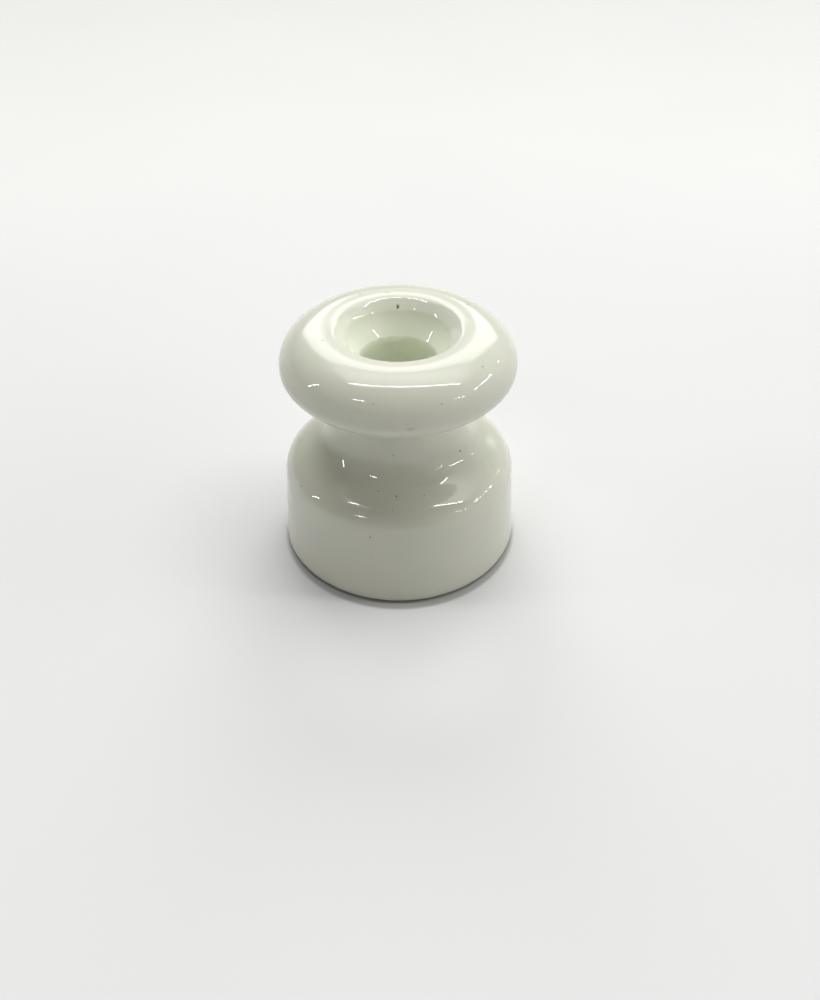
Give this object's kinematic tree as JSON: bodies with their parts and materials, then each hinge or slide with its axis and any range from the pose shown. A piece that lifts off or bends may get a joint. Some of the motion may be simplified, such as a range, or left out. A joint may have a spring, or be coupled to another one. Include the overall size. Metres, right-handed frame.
{
  "type": "porcelain insulator",
  "caption": "Turned porcelain wall insulator: drum base, domed shoulder, deep cord groove round the neck, and a rounded head whose funnel mouth leads down to the fixing screw's recess.",
  "frame": {"origin": "centre of the flat underside, which stands on the wall or table", "axes": "+Z along the axis of turning and of the screw hole, from the underside towards the head's mouth; the part is the same all round, so X and Y are free"},
  "size_m": [0.02, 0.02, 0.0198],
  "materials": {
    "glazed_porcelain": "glossy, slightly greenish white glaze with scattered fine dark specks"
  },
  "bodies": {
    "root": {"insulator_body": "glazed_porcelain"}
  },
  "joints": []
}
